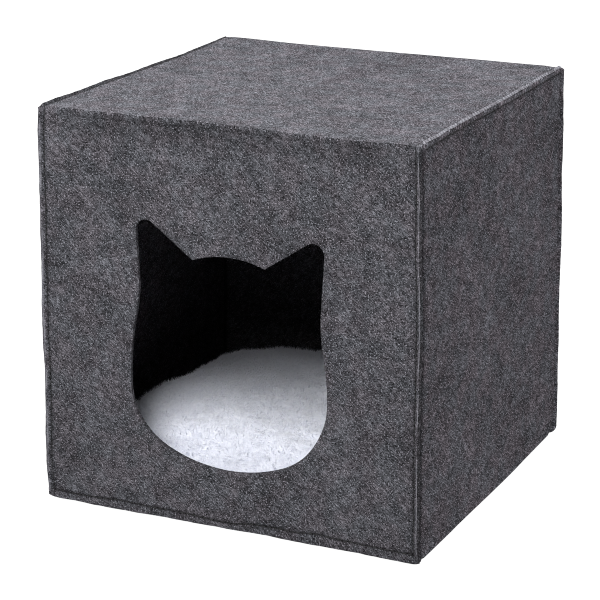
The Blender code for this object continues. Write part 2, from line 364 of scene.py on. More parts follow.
@dataclass(frozen=True)
class Entrance:
    """The opening in the front: an animal's head with two ears."""

    centre_x: float = 0.0025
    chin_z: float = 0.0512
    chin_radius: float = 0.120
    cheek_radius: float = 0.062
    temple_radius: float = 0.250
    ear_foot_radius: float = 0.120
    ear_tip_radius: float = 0.009
    left: HeadSide = HeadSide(0.0870, 0.2504, math.radians(12.4), math.radians(2.6))
    right: HeadSide = HeadSide(0.0846, 0.2476, math.radians(10.4), math.radians(3.2))
    chin_skew: float = 0.0020       # how far left the chin lies, below skew_top
    skew_top: float = 0.125
    skew_run: float = 0.045
    notch_half_width: float = 0.031
    notch_z: float = 0.2222
    brow_rise: float = 0.0057
    arc_length: float = 0.0012

    def arc(self, centre: Vector, radius: float, start: float, end: float) -> list[Vector]:
        """Return points along an arc in the front's plane, both ends included.

        Args:
            centre: its centre.
            radius: its radius.
            start: where it starts, an angle from the way right.
            end: where it ends.

        Returns:
            The points.
        """
        count = max(2, math.ceil(abs(end - start) * radius / self.arc_length))
        angles = [start + (end - start) * step / count for step in range(count + 1)]
        return [centre + radius * Vector((math.cos(turn), math.sin(turn))) for turn in angles]

    def half_outline(self, half: HeadSide) -> list[Vector]:
        """Return one half, drawn as the right one, from the chin up to the brow's middle.

        Args:
            half: its sizes.

        Returns:
            Its points (x, z), x being 0 in the middle.
        """
        chin = Vector((0, self.chin_z + self.chin_radius))
        cheek_x = half.cheek - self.cheek_radius
        cheek_drop = math.sqrt((self.chin_radius - self.cheek_radius) ** 2 - cheek_x ** 2)
        cheek = Vector((cheek_x, chin.y - cheek_drop))
        meeting = math.atan2(-cheek_drop, cheek_x)
        outline = self.arc(chin, self.chin_radius, -math.pi / 2, meeting)
        outline += self.arc(cheek, self.cheek_radius, meeting, 0.0)[1:]
        turn, lean = half.temple_turn, half.lean
        temple = Vector((half.cheek - self.temple_radius, cheek.y))
        outline += self.arc(temple, self.temple_radius, 0.0, turn)[1:]
        way = Vector((math.cos(turn), math.sin(turn)))
        foot = temple + way * (self.temple_radius + self.ear_foot_radius)
        outline += self.arc(foot, self.ear_foot_radius, math.pi + turn, math.pi - lean)[1:]
        side = Vector((math.cos(lean), -math.sin(lean)))
        tip = outline[-1] - side * self.ear_tip_radius
        rise = half.ear_tip - self.ear_tip_radius - tip.y
        tip += Vector((math.tan(lean), 1)) * rise
        notch = Vector((self.notch_half_width, self.notch_z))
        to_tip = tip - notch
        slope = math.atan2(to_tip.y, to_tip.x) + math.asin(self.ear_tip_radius / to_tip.length)
        outline += self.line(outline[-1], tip + side * self.ear_tip_radius)[1:-1]
        outline += self.arc(tip, self.ear_tip_radius, -lean, slope + math.pi / 2)
        outline += self.line(outline[-1], notch)[1:-1]
        brow_radius = (self.notch_half_width ** 2 + self.brow_rise ** 2) / (2 * self.brow_rise)
        brow = Vector((0, self.notch_z + self.brow_rise - brow_radius))
        start = math.asin((brow_radius - self.brow_rise) / brow_radius)
        outline += self.arc(brow, brow_radius, start, math.pi / 2)
        return outline

    def line(self, start: Vector, end: Vector) -> list[Vector]:
        """Return points along a straight cut, both ends included."""
        count = max(1, math.ceil((end - start).length / self.arc_length))
        return [start.lerp(end, step / count) for step in range(count + 1)]

    def middle(self, z: float) -> float:
        """Return how far right the outline's own middle lies at a height."""
        return self.centre_x - self.chin_skew * smoothstep((self.skew_top - z) / self.skew_run)

    def outline(self) -> list[Vector]:
        """Return the whole outline as points (x, z) of the front.

        Returns:
            The points in order.
        """
        right = self.half_outline(self.right)
        left = self.half_outline(self.left)
        left = [Vector((-point.x, point.y)) for point in reversed(left[1:-1])]
        return [point + Vector((self.middle(point.y), 0)) for point in right + left]

    def notches(self) -> list[Vector]:
        """Return the two sharp points where the ears meet the brow."""
        return [Vector((self.centre_x + side * self.notch_half_width, self.notch_z))
                for side in (-1, 1)]


def inside(point: Vector, outline: list[Vector]) -> bool:
    """Return whether a flat point lies inside a closed outline.

    Args:
        point: the point.
        outline: the outline's points in order.

    Returns:
        Whether it does.
    """
    found = False
    previous = outline[-1]
    for corner in outline:
        if (corner.y > point.y) != (previous.y > point.y):
            slope = (previous.x - corner.x) / (previous.y - corner.y)
            if point.x < corner.x + slope * (point.y - corner.y):
                found = not found
        previous = corner
    return found


def nearest(point: Vector, outline: list[Vector]) -> Vector:
    """Return the point of a closed outline that is nearest to a flat point.

    Args:
        point: the flat point.
        outline: the outline's points in order.

    Returns:
        The nearest point.
    """
    best, best_gap = point, math.inf
    previous = outline[-1]
    for corner in outline:
        side = corner - previous
        share = clamp((point - previous).dot(side) / max(side.length_squared, TINY))
        place = previous + side * share
        gap = (place - point).length_squared
        if gap < best_gap:
            best, best_gap = place, gap
        previous = corner
    return best


@dataclass(frozen=True)
class FeltShading:
    """How much darker or paler the felt's colour is made in its seam groove, cuts, rims and front
    fold: painted shade and painted highlight, with the raw cut faces' own darker tone.
    """

    # painted shade in the stitched groove spreads this wide
    groove_width: float = 0.0018
    flange: float = 0.60            # painted shade on the wrap's allowance along the top
    foot: float = 0.25              # darker colour on the front's allowance along the bottom
    cut: float = 0.55               # darker cut faces of the allowances: their own raw felt, and painted shade where one ply shades the other
    top_right_cut: float = 0.165    # the same on the cradle's cut face along the top right
    entrance_cut: float = 0.25
    # painted shade in the groove at the back right
    back_groove: float = 0.30
    lit_groove: float = 0.15        # painted shade in the groove along the top right
    glint: float = 0.72             # painted highlight on the allowances' fuzzy rims
    glint_fade: float = 0.008       # it starts this far below the top
    crest: float = 0.85             # painted highlight on the fuzzy rim along the top right
    crest_swing: float = 0.4        # share of it that changes from stitch to stitch
    rim_width: float = 0.0012
    # painted shade below the front's top fold, and a thinner, darker painted line just under the
    # fold
    fold: float = 0.26
    fold_width: float = 0.0080
    fold_line: float = 0.55
    fold_line_width: float = 0.0010
    # patches of the rims' painted highlight: (mean, swing, size, seed)
    glint_patches: tuple[float, ...] = (0.75, 1.3, 0.010, 12.0)
    crest_patches: tuple[float, ...] = (0.9, 1.6, 0.006, 11.0)

    def patch(self, base: Vector, mean: float, swing: float, size: float, seed: float) -> float:
        """Return a patchy share from 0 to 1."""
        return clamp(mean + swing * wander(base, size, seed))

    def front_fold(self, strip: "FeltStrip", place: float) -> float:
        """Return the painted shade below the front's top fold.

        Args:
            strip: the felt strip.
            place: the place along it.

        Returns:
            The shade there.
        """
        if strip.strip is Strip.CRADLE or place > 0:
            return 0.0
        below = abs(place) - strip.crossing - strip.fold_length
        return (self.fold * bell(below - self.fold_width, self.fold_width)
                + self.fold_line * bell(below - self.fold_line_width, self.fold_line_width))

    def at(self, strip: "FeltStrip", flat: Vector, cut_face: bool) -> float:
        """Return how much darker (painted shade) or, below 0, paler (painted highlight) the felt
        is made at a point.

        Args:
            strip: the felt strip.
            flat: a point of the flat slab.
            cut_face: whether the point is on a cut edge's face.

        Returns:
            The shade, from -1 to 1.
        """
        spot = strip.locate(flat.x, flat.y)
        base, normal, outward, distance = spot.base, spot.normal, spot.outward, spot.distance
        if distance <= -strip.seam_zone:
            return self.entrance_cut if cut_face else self.front_fold(strip, flat.y)
        wrap = strip.strip is Strip.WRAP
        on_top = wrap and normal.z > FACING
        # the crest's painted highlight, brighter at each stitch
        phase = strip.stitch_phase(spot.along)
        crest = 1 - self.crest_swing + self.crest_swing * phase
        crest *= self.crest * self.patch(base, *self.crest_patches)
        # cut faces: a painted highlight on the wrap's rim along the top right; elsewhere darker,
        # partly raw felt and partly painted shade
        if cut_face:
            if base.x < 0 and abs(normal.z) < FACING:
                return 0.0
            if on_top and base.x > 0:
                return -crest
            return self.top_right_cut if outward.z > FACING and base.x > 0 else self.cut
        start, end, cut = strip.reach(spot)
        # painted shade in the stitched groove
        groove = bell(distance - (start + end) / 2, self.groove_width)
        past = ramp(distance, start, end - start)
        # the rim, where the painted highlight goes
        rim = bell(distance - cut, self.rim_width)
        if wrap and base.y < 0 and outward.z < -FACING:
            return max(groove, self.foot * past)
        if not wrap and base.x > 0 and base.y > 0 and outward.z < FACING:
            return self.back_groove * groove
        if on_top and base.x > 0:
            return self.lit_groove * groove - crest * rim
        fade = smoothstep((strip.box.height - base.z) / self.glint_fade - 1)
        glint = self.glint * self.patch(base, *self.glint_patches) * fade * rim
        return max(groove, self.flange * past - glint) if on_top else groove - glint


@dataclass
class FeltStrip:
    """One felt strip: cut flat, thickened, then folded and turned out along its seam."""

    box: CaveBox
    strip: Strip
    corner: float = 0.0022          # from the seam's root in to where its corners turn
    bend_radius: float = 0.0033     # inner face's bend into the seam allowance
    seam_zone: float = 0.010        # strip beside the seam that the stitches disturb
    # the pattern's lines, closer together beside the seam, and the levels across the allowance
    row_step: float = 0.0017
    near_rows: int = 6
    column_step: float = 0.0140
    near_columns: tuple[float, ...] = (0.0095, 0.0065, 0.004, 0.002)
    fine_cuts: int = 7
    flat_levels: int = 2
    bend_levels: int = 5
    allowance_levels: int = 5
    fold_rows: int = 6
    entrance_margin: float = 0.004
    rim_merge: float = 0.0004
    rim_rounds: int = 3             # of smoothing beside the entrance's rim
    rim_angle: float = math.radians(60)
    crease_degrees: float = 50
    cut_tilt: float = 0.4           # a flat slab's face that leans more is a cut face
    edge_softness: float = 0.0005
    edge_squeeze: float = 0.22      # loss of loft at the cut edges
    closing: float = 0.00018        # how far each strip's cut edge leans on the other's
    fold_crispness: float = 0.80    # of the front's top fold: 0 round, 1 square
    stitch_pitch: float = 0.0051
    groove_depth: float = 0.0009
    groove_width: float = 0.0010
    groove_swing: float = 0.25      # share of its depth that changes from stitch to stitch
    pucker: float = 0.00022
    pucker_inside: Pair = (0.0022, 0.0026)     # how far inside the corner line, and how wide
    pucker_rim: Pair = (0.001, 0.002)          # how far inside the cut, and how wide
    pucker_rim_share: float = 0.5
    uneven: Triple = (0.5, 0.012, 5.0)           # of groove and puckers: (share, size, seed)
    sway: Triple = (math.radians(5), 0.022, 3.0)     # of the allowance: (turn, size, seed)
    ragged: Table = ((0.00028, 0.009), (0.00014, 0.004))    # the trimmed cut: (width, size)
    # the felt's waves: (height, size, seed)
    lumps: tuple[Triple, ...] = ((0.00022, 0.034, 8.0), (0.000088, 0.011, 9.0))
    entrance: Entrance = field(default_factory=Entrance)
    # where the felt's colour gets painted shade and painted highlight
    shading: FeltShading = field(default_factory=FeltShading)

    def __post_init__(self) -> None:
        """Work out the strip's own measures."""
        box = self.box
        wrap = self.strip is Strip.WRAP
        self.half_span = box.half_y if wrap else box.half_x
        self.fold_z = box.top_z if wrap else box.floor_seam_height
        self.end_z = box.floor_seam_height if wrap else box.top_z
        self.upward = 1.0 if wrap else -1.0
        self.fold_radius = box.fold_radius if wrap else box.floor_fold_radius
        self.crossing = self.half_span - self.fold_radius
        self.fold_length = math.pi / 2 * self.fold_radius
        wall = abs(self.fold_z - self.end_z) - self.fold_radius - box.seam_inset
        self.root_s = (box.half_x if wrap else box.half_y) - box.seam_inset
        self.root_t = self.crossing + self.fold_length + wall
        self.centre_s = self.root_s - self.corner
        self.centre_t = self.root_t - self.corner
        self.levels = self.flat_levels + self.bend_levels + self.allowance_levels

    @property
    def flat_size(self) -> Pair:
        """Return the size of the strip as it is cut.

        Returns:
            Its width and length.
        """
        width = 2 * (self.root_s + self.box.side_allowance)
        length = 2 * (self.root_t + (self.box.floor_allowance if self.strip is Strip.WRAP
                                     else self.box.top_allowance))
        return width, length

    def stitch_phase(self, along: float) -> float:
        """Return 1 at the needle holes and -1 half way between, at a place along the seam."""
        return math.cos(2 * math.pi * along / self.stitch_pitch)

    def lift(self, across: float, place: float, z: float) -> Vector:
        """Return a space vector from one across the strip, one along it and a height."""
        return Vector((across, place, z) if self.strip is Strip.WRAP else (place, across, z))

    def lie(self, along: float) -> tuple[Vector, Vector]:
        """Return the inner face's place and outward normal at a point along the strip.

        Args:
            along: distance along the flat strip from its middle.

        Returns:
            The place on the strip's centre line, and the normal there.
        """
        side = math.copysign(1.0, along)
        run = abs(along)
        radius = self.fold_radius
        if run <= self.crossing:
            return self.lift(0, along, self.fold_z), self.lift(0, 0, self.upward)
        if run <= self.crossing + self.fold_length:
            turn = (run - self.crossing) / radius
            normal = self.lift(0, side * math.sin(turn), self.upward * math.cos(turn))
            centre = self.lift(0, side * self.crossing, self.fold_z - self.upward * radius)
            return centre + normal * radius, normal
        drop = run - self.crossing - self.fold_length
        z = self.fold_z - self.upward * (radius + drop)
        return self.lift(0, side * self.half_span, z), self.lift(0, side, 0)

    def locate(self, s: float, t: float) -> SeamPlace:
        """Return how a flat point lies against the seam.

        Args:
            s: flat position across the strip.
            t: flat position along the strip.

        Returns:
            How it lies.
        """
        base_s = clamp(s, -self.centre_s, self.centre_s)
        base_t = clamp(t, -self.centre_t, self.centre_t)
        past_s, past_t = abs(s - base_s), abs(t - base_t)
        place, normal = self.lie(base_t)
        base = place + self.lift(base_s, 0, 0)
        distance = math.hypot(past_s, past_t)
        if distance > 0:
            outward = self.lift(math.copysign(past_s, s), 0, -self.upward * past_t) / distance
            turn = math.atan2(past_t, past_s)
            along = abs(base_t) + self.corner * turn + self.centre_s - abs(base_s)
            return SeamPlace(base, normal, outward, distance, along)
        room_s, room_t = self.centre_s - abs(s), self.centre_t - abs(t)
        if room_s < room_t:
            return SeamPlace(base, normal, self.lift(math.copysign(1, s), 0, 0), -room_s, abs(t))
        along = self.centre_t + self.corner * math.pi / 2 + room_s
        return SeamPlace(base, normal, self.lift(0, 0, -self.upward), -room_t, along)

    def corner_place(self, s: float, t: float, turn: float) -> SeamPlace:
        """Return how a point where the corners turn lies against the seam.

        Args:
            s: flat position across the strip.
            t: flat position along the strip.
            turn: which way is out, from 0 across the strip to a quarter turn along it.

        Returns:
            How it lies.
        """
        place, normal = self.lie(t)
        side = math.copysign(math.cos(turn), s)
        outward = self.lift(side, 0, -self.upward * math.sin(turn))
        return SeamPlace(place + self.lift(s, 0, 0), normal, outward)

    def reach(self, spot: SeamPlace) -> Triple:
        """Return where the bend starts and ends and where the felt is cut.

        Args:
            spot: the place at the seam.

        Returns:
            Three distances past the line where the corners turn.
        """
        wrap = self.strip is Strip.WRAP
        most, size, seed = self.sway
        sway = most * wander(spot.base, size, seed)
        turn = self.box.seam_bend(spot, self.strip) + (-sway if wrap else sway)
        start = self.corner - self.bend_radius * math.tan(turn / 2)
        end = start + self.bend_radius * turn
        root = spot.base + spot.outward * self.corner
        width = self.box.allowance(root, spot, self.strip)
        width += sum(step * wander(root, size, 1.0 if wrap else 2.0) for step, size in self.ragged)
        return start, end, end + width - (self.corner - start)

    def sewn_height(self, height: float, spot: SeamPlace, bend: Triple) -> float:
        """Return a height in the slab after the stitches have drawn the felt together.

        Args:
            height: the height in the flat slab.
            spot: the place at the seam.
            bend: what reach says there.

        Returns:
            The height over the inner face.
        """
        start, end, cut = bend
        distance = spot.distance
        outer = height / self.box.felt
        squeeze = ramp(distance, start, cut - start)
        height *= 1 - self.edge_squeeze * squeeze
        height -= self.closing * squeeze
        phase = self.stitch_phase(spot.along)
        share, size, seed = self.uneven
        uneven = 1 + share * wander(spot.base, size, seed)
        depth = self.groove_depth * (1 - self.groove_swing - self.groove_swing * phase)
        height -= outer * depth * uneven * bell(distance - (start + end) / 2, self.groove_width)
        inside_by, inside_width = self.pucker_inside
        rim_by, rim_width = self.pucker_rim
        beside = bell(distance + inside_by, inside_width)
        beside += self.pucker_rim_share * bell(distance - cut + rim_by, rim_width)
        return height - outer * self.pucker * phase * uneven * beside

    def fold(self, flat: Vector) -> Vector:
        """Return where a point of the flat slab lies in the sewn cave.

        Args:
            flat: across, along and height in the slab.

        Returns:
            The point in space.
        """
        spot = self.locate(flat.x, flat.y)
        base, normal, outward, distance = spot.base, spot.normal, spot.outward, spot.distance
        height = flat.z
        turned, run, rise = 0.0, max(0.0, distance), 0.0
        if distance > -self.seam_zone:
            start, end, cut = self.reach(spot)
            height = self.sewn_height(height, spot, (start, end, cut))
            if distance > start:
                turned = (min(end, distance) - start) / self.bend_radius
                extra = max(0.0, distance - end)
                run = start + self.bend_radius * math.sin(turned) + extra * math.cos(turned)
                rise = self.bend_radius * (1 - math.cos(turned)) + extra * math.sin(turned)
        height += sum(lump * wander(base, size, seed) for lump, size, seed in self.lumps)
        if self.strip is Strip.WRAP and flat.y < 0:
            corner = 1 / max(abs(normal.y), abs(normal.z)) - 1
            crispness = self.fold_crispness * flat.z / self.box.felt
            height += crispness * (self.fold_radius + height) * corner
        facing = normal * math.cos(turned) - outward * math.sin(turned)
        return self.box.settle(base + outward * run + normal * rise + facing * height)

    # -------------------------------------------------- the flat pattern

    def stations(self, centre: float, step: float, near: tuple[float, ...],
                 folds: bool) -> list[float]:
        """Return the pattern lines from the middle out to where the corners turn.

        Args:
            centre: the last line.
            step: the usual gap.
            near: distances of further lines from the last one.
            folds: whether the strip's fold lies across these lines.

        Returns:
            The lines' positions, from 0 up.
        """
        stops = [0.0]
        if folds:
            stops += [self.crossing, self.crossing + self.fold_length]
        stops += sorted(centre - gap for gap in near) + [centre]
        lines = [0.0]
        for start, end in zip(stops, stops[1:]):
            fold = folds and start == self.crossing
            count = self.fold_rows if fold else max(1, round((end - start) / step))
            lines += [start + (end - start) * part / count for part in range(1, count + 1)]
        return lines

    def level_distance(self, level: int, spot: SeamPlace) -> float:
        """Return how far past where the corners turn a pattern level lies.

        Args:
            level: counted from there out to the cut.
            spot: the place at the seam.

        Returns:
            The distance.
        """
        start, end, cut = self.reach(spot)
        if level <= self.flat_levels:
            return start * level / self.flat_levels
        level -= self.flat_levels
        if level <= self.bend_levels:
            return start + (end - start) * level / self.bend_levels
        level -= self.bend_levels
        return end + (cut - end) * level / self.allowance_levels

    def flat_point(self, column: int, row: int, s_lines: list[float],
                   t_lines: list[float]) -> Vector:
        """Return a pattern vertex's flat position.

        Args:
            column: signed count of lines from the middle, across.
            row: signed count of lines from the middle, along.
            s_lines: the lines across.
            t_lines: the lines along.

        Returns:
            The flat point.
        """
        over_s = max(0, abs(column) - len(s_lines) + 1)
        over_t = max(0, abs(row) - len(t_lines) + 1)
        level = max(over_s, over_t)
        side_s, side_t = math.copysign(1, column), math.copysign(1, row)
        s = side_s * s_lines[min(abs(column), len(s_lines) - 1)]
        t = side_t * t_lines[min(abs(row), len(t_lines) - 1)]
        if not level:
            return Vector((s, t, 0))
        turn = math.pi / 4 * over_t / over_s if over_s >= over_t else (
            math.pi / 2 - math.pi / 4 * over_s / over_t)
        distance = self.level_distance(level, self.corner_place(s, t, turn))
        return Vector((s + side_s * distance * math.cos(turn),
                       t + side_t * distance * math.sin(turn), 0))

    def cut_pattern(self) -> BMesh:
        """Return the strip's outline and lines as one flat layer of faces.

        Returns:
            The flat pattern, without its entrance.
        """
        t_near = tuple(self.row_step * count for count in range(1, self.near_rows + 1))
        s_lines = self.stations(self.centre_s, self.column_step, self.near_columns, False)
        t_lines = self.stations(self.centre_t, self.row_step, t_near, True)
        half_columns = len(s_lines) - 1 + self.levels
        half_rows = len(t_lines) - 1 + self.levels
        bm = bmesh.new()
        bmesh.ops.create_grid(bm, x_segments=2 * half_columns, y_segments=2 * half_rows, size=1)
        for vert in bm.verts:
            column = round(vert.co.x * half_columns)
            row = round(vert.co.y * half_rows)
            vert.co = self.flat_point(column, row, s_lines, t_lines)
        self.refine(bm, lambda s, t: abs(t) > self.centre_t - self.seam_zone)
        return bm

    def refine(self, bm: BMesh, wanted: Callable[[float, float], bool]) -> None:
        """Cut the long steps across the strip into fine ones.

        Args:
            bm: the flat pattern.
            wanted: whether fine steps are wanted at a place across and along the strip.
        """
        edges = []
        for edge in bm.edges:
            first, second = edge.verts[0].co, edge.verts[1].co
            if abs(first.x - second.x) < self.column_step / 2:
                continue
            if wanted(first.x, first.y) and wanted(second.x, second.y):
                edges.append(edge)
        bmesh.ops.subdivide_edges(bm, edges=edges, cuts=self.fine_cuts, use_grid_fill=True)

    def flatten(self, point: Vector) -> Vector:
        """Lay a point of the front flat.

        Args:
            point: the point (x, z) of the front.

        Returns:
            Its place in the flat pattern.
        """
        ideal = self.box.unsettle(Vector((point.x, -self.box.depth / 2, point.y)))
        drop = self.fold_z - self.fold_radius - ideal.z
        return Vector((ideal.x, -(self.crossing + self.fold_length + drop)))

    def entrance_rim(self, bm: BMesh) -> list[BMVert]:
        """Return the vertices round the hole in a flat pattern."""
        return [vert for vert in bm.verts if vert.is_boundary
                and abs(vert.co.x) < self.centre_s and abs(vert.co.y) < self.centre_t]

    def cut_entrance(self, bm: BMesh) -> None:
        """Cut the entrance through the front.

        Args:
            bm: the flat pattern.
        """
        outline = [self.flatten(point) for point in self.entrance.outline()]
        low = Vector((min(p.x for p in outline), min(p.y for p in outline)))
        high = Vector((max(p.x for p in outline), max(p.y for p in outline)))
        aside, margin = self.column_step, self.entrance_margin
        self.refine(bm, lambda s, t: (low.x - aside < s < high.x + aside
                                      and low.y - margin < t < high.y + margin))
        middles = [(face, face.calc_center_median().to_2d()) for face in bm.faces]
        doomed = [face for face, place in middles
                  if low.x < place.x < high.x and low.y < place.y < high.y
                  and inside(place, outline)]
        bmesh.ops.delete(bm, geom=doomed, context="FACES")
        rim = self.entrance_rim(bm)
        for vert in rim:
            vert.co = nearest(vert.co.to_2d(), outline).to_3d()
        for notch in self.entrance.notches():
            tip = self.flatten(notch).to_3d()
            min(rim, key=lambda vert: (vert.co - tip).length).co = tip
        bmesh.ops.remove_doubles(bm, verts=rim, dist=self.rim_merge)
        rim = self.entrance_rim(bm)
        beside = {edge.other_vert(vert) for vert in rim for edge in vert.link_edges}
        beside -= set(rim)
        for _ in range(self.rim_rounds):
            bmesh.ops.smooth_vert(bm, verts=list(beside), factor=0.5,
                                  use_axis_x=True, use_axis_y=True)

    def outer_run(self, along: float) -> float:
        """Return how far along the strip's outer face a flat position lies."""
        past = clamp((abs(along) - self.crossing) / self.fold_length)
        return along + math.copysign(self.box.felt * math.pi / 2 * past, along)

    def build(self) -> Object:
        """Cut, thicken, trim, fold and sew the strip.

        Returns:
            Its piece.
        """
        bm = self.cut_pattern()
        if self.strip is Strip.WRAP:
            self.cut_entrance(bm)
        bmesh.ops.solidify(bm, geom=bm.faces[:], thickness=self.box.felt)
        lowest = min(vert.co.z for vert in bm.verts)
        bmesh.ops.translate(bm, verts=bm.verts, vec=(0, 0, -lowest))
        bmesh.ops.recalc_face_normals(bm, faces=bm.faces)
        rims = [edge for edge in bm.edges if len(edge.link_faces) == 2
                and edge.calc_face_angle() > self.rim_angle
                and min(vert.co.z for vert in edge.verts) > self.box.felt / 2]
        bmesh.ops.bevel(bm, geom=rims, offset=self.edge_softness, offset_type="OFFSET",
                        segments=2, profile=0.5, affect="EDGES", material=-1,
                        clamp_overlap=True)
        pattern = bm.loops.layers.uv.new("pattern")
        # painted shade above 0 and painted highlight below 0, for each corner
        shade = bm.loops.layers.float.new("shade")
        for face in bm.faces:
            cut_face = abs(face.normal.z) < self.cut_tilt
            for loop in face.loops:
                flat = loop.vert.co
                loop[pattern].uv = (flat.x + flat.z, self.outer_run(flat.y) + flat.z / 2)
                loop[shade] = self.shading.at(self, flat, cut_face)
        for vert in bm.verts:
            vert.co = self.fold(vert.co)
        bmesh.ops.recalc_face_normals(bm, faces=bm.faces)
        return make_piece(f"{self.strip.value}_cloth", bm, self.crease_degrees)


def append(whole: BMesh, part: BMesh) -> None:
    """Add one mesh to another.

    Args:
        whole: the mesh that grows.
        part: the mesh that is added, and freed.
    """
    mesh = bpy.data.meshes.new("part")
    part.to_mesh(mesh)
    part.free()
    whole.from_mesh(mesh)
    bpy.data.meshes.remove(mesh)


def make_piece(name: str, bm: BMesh, crease_degrees: float) -> Object:
    """Turn a bmesh into a linked piece, smooth except at its creases.

    Args:
        name: the piece's name.
        bm: its mesh, which is freed.
        crease_degrees: edges sharper than this stay sharp.

    Returns:
        The piece.
    """
    mesh = bpy.data.meshes.new(name)
    bm.to_mesh(mesh)
    bm.free()
    mesh.shade_smooth()
    mesh.set_sharp_from_angle(angle=math.radians(crease_degrees))
    piece = bpy.data.objects.new(name, mesh)
    bpy.context.scene.collection.objects.link(piece)
    return piece


# ---------------------------------------------------------------- shader maths


class Socket:
    """A shader socket that Python expressions can use; each operation adds its Math node."""

    def __init__(self, graph: "Graph", link: NodeSocket) -> None:
        """Wrap a node's output."""
        self.graph = graph
        self.link = link

    def maths(self, operation: str, first: Any, second: Any = 0.0) -> "Socket":
        """Return the result of one Math node."""
        return self.graph.node("ShaderNodeMath", {"operation": operation},
                               {0: first, 1: second})

    def __add__(self, other: Any) -> "Socket":
        """Return self + other."""
        return self.maths("ADD", self, other)

    __radd__ = __add__

    def __sub__(self, other: Any) -> "Socket":
        """Return self - other."""
        return self.maths("SUBTRACT", self, other)

    def __rsub__(self, other: Any) -> "Socket":
        """Return other - self."""
        return self.maths("SUBTRACT", other, self)

    def __mul__(self, other: Any) -> "Socket":
        """Return self * other."""
        return self.maths("MULTIPLY", self, other)

    __rmul__ = __mul__

    def between(self, low: float, high: float) -> "Socket":
        """Return 0 below low and 1 above high, easing between them."""
        return self.graph.node("ShaderNodeMapRange", {"interpolation_type": "SMOOTHSTEP"},
                               {"Value": self, "From Min": low, "From Max": high})

    def most(self, other: Any) -> "Socket":
        """Return the larger of self and other."""
        return self.maths("MAXIMUM", self, other)


class Graph:
    """The node tree of one finish."""

    def __init__(self, name: str) -> None:
        """Start an empty material.

        Args:
            name: its name.
        """
        self.material = bpy.data.materials.new(name)
        self.material.use_nodes = True
        self.tree = self.material.node_tree
        self.shader = self.tree.nodes["Principled BSDF"]

    def node(self, kind: str, settings: dict[str, Any], values: dict[Any, Any],
             output: Any = 0) -> Socket:
        """Add a node.

        Args:
            kind: the node's type.
            settings: its own settings, set first.
            values: what its sockets get, a number, tuple or Socket each.
            output: the output that is wanted.

        Returns:
            That output.
        """
        made = self.tree.nodes.new(kind)
        for key, value in settings.items():
            setattr(made, key, value)
        for key, value in values.items():
            if isinstance(value, Socket):
                self.tree.links.new(value.link, made.inputs[key])
            else:
                made.inputs[key].default_value = value
        return Socket(self, made.outputs[output])

    def feed(self, **values: Any) -> None:
        """Give the shader its inputs.

        Args:
            values: a number, colour or Socket each, named as the inputs are, with underscores
                for the spaces.
        """
        for key, value in values.items():
            entry = self.shader.inputs[key.replace("_", " ")]
            if isinstance(value, Socket):
                self.tree.links.new(value.link, entry)
            else:
                entry.default_value = value

    def grain(self, place: Socket, scale: float, detail: float = 2.0, rough: float = 0.5,
              flat: bool = False) -> Socket:
        """Return fractal noise about 0.5.

        Args:
            place: where it is read.
            scale: how many humps there are in a unit of the place.
            detail: how many finer layers it has.
            rough: how strong those are.
            flat: whether only the first two parts of the place count.

        Returns:
            The noise.
        """
        settings = {"noise_dimensions": "2D" if flat else "3D"}
        return self.node("ShaderNodeTexNoise", settings,
                         {"Vector": place, "Scale": scale, "Detail": detail, "Roughness": rough})

    def stretch(self, place: Socket, turn: float, size: Triple,
                shift: Triple = (0, 0, 0)) -> Socket:
        """Turn a place about its third axis, then scale it.

        Args:
            place: the place.
            turn: the turn, in radians.
            size: the scale of each axis.
            shift: a shift between the two.

        Returns:
            The new place.
        """
        turned = self.node("ShaderNodeMapping", {}, {"Vector": place, "Rotation": (0, 0, turn),
                                                     "Location": shift})
        return self.node("ShaderNodeMapping", {}, {"Vector": turned, "Scale": size})

    def blend(self, share: Any, first: Any, second: Any, mode: str = "MIX") -> Socket:
        """Return a colour mixed from two."""
        settings = {"data_type": "RGBA", "blend_type": mode}
        return self.node("ShaderNodeMix", settings, {0: share, 6: first, 7: second}, 2)

    def bump(self, height: Socket, strength: float, distance: float) -> Socket:
        """Return a normal for a height."""
        return self.node("ShaderNodeBump", {}, {"Height": height, "Strength": strength,
                                                "Distance": distance})


def grey(level: float, tint: Triple = (1, 1, 1)) -> Rgba:
    """Return a colour of that level and tint."""
    return (level * tint[0], level * tint[1], level * tint[2], 1.0)


@dataclass(frozen=True)
class Grain:
    """Fractal noise, stretched to run from 0 at its low level to 1 at its high one."""

    scale: float
    detail: float
    rough: float
    low: float
    high: float

    def on(self, graph: Graph, place: Socket) -> Socket:
        """Return the grain at a flat place."""
        noisy = graph.grain(place, self.scale, self.detail, self.rough, True)
        return noisy.between(self.low, self.high)


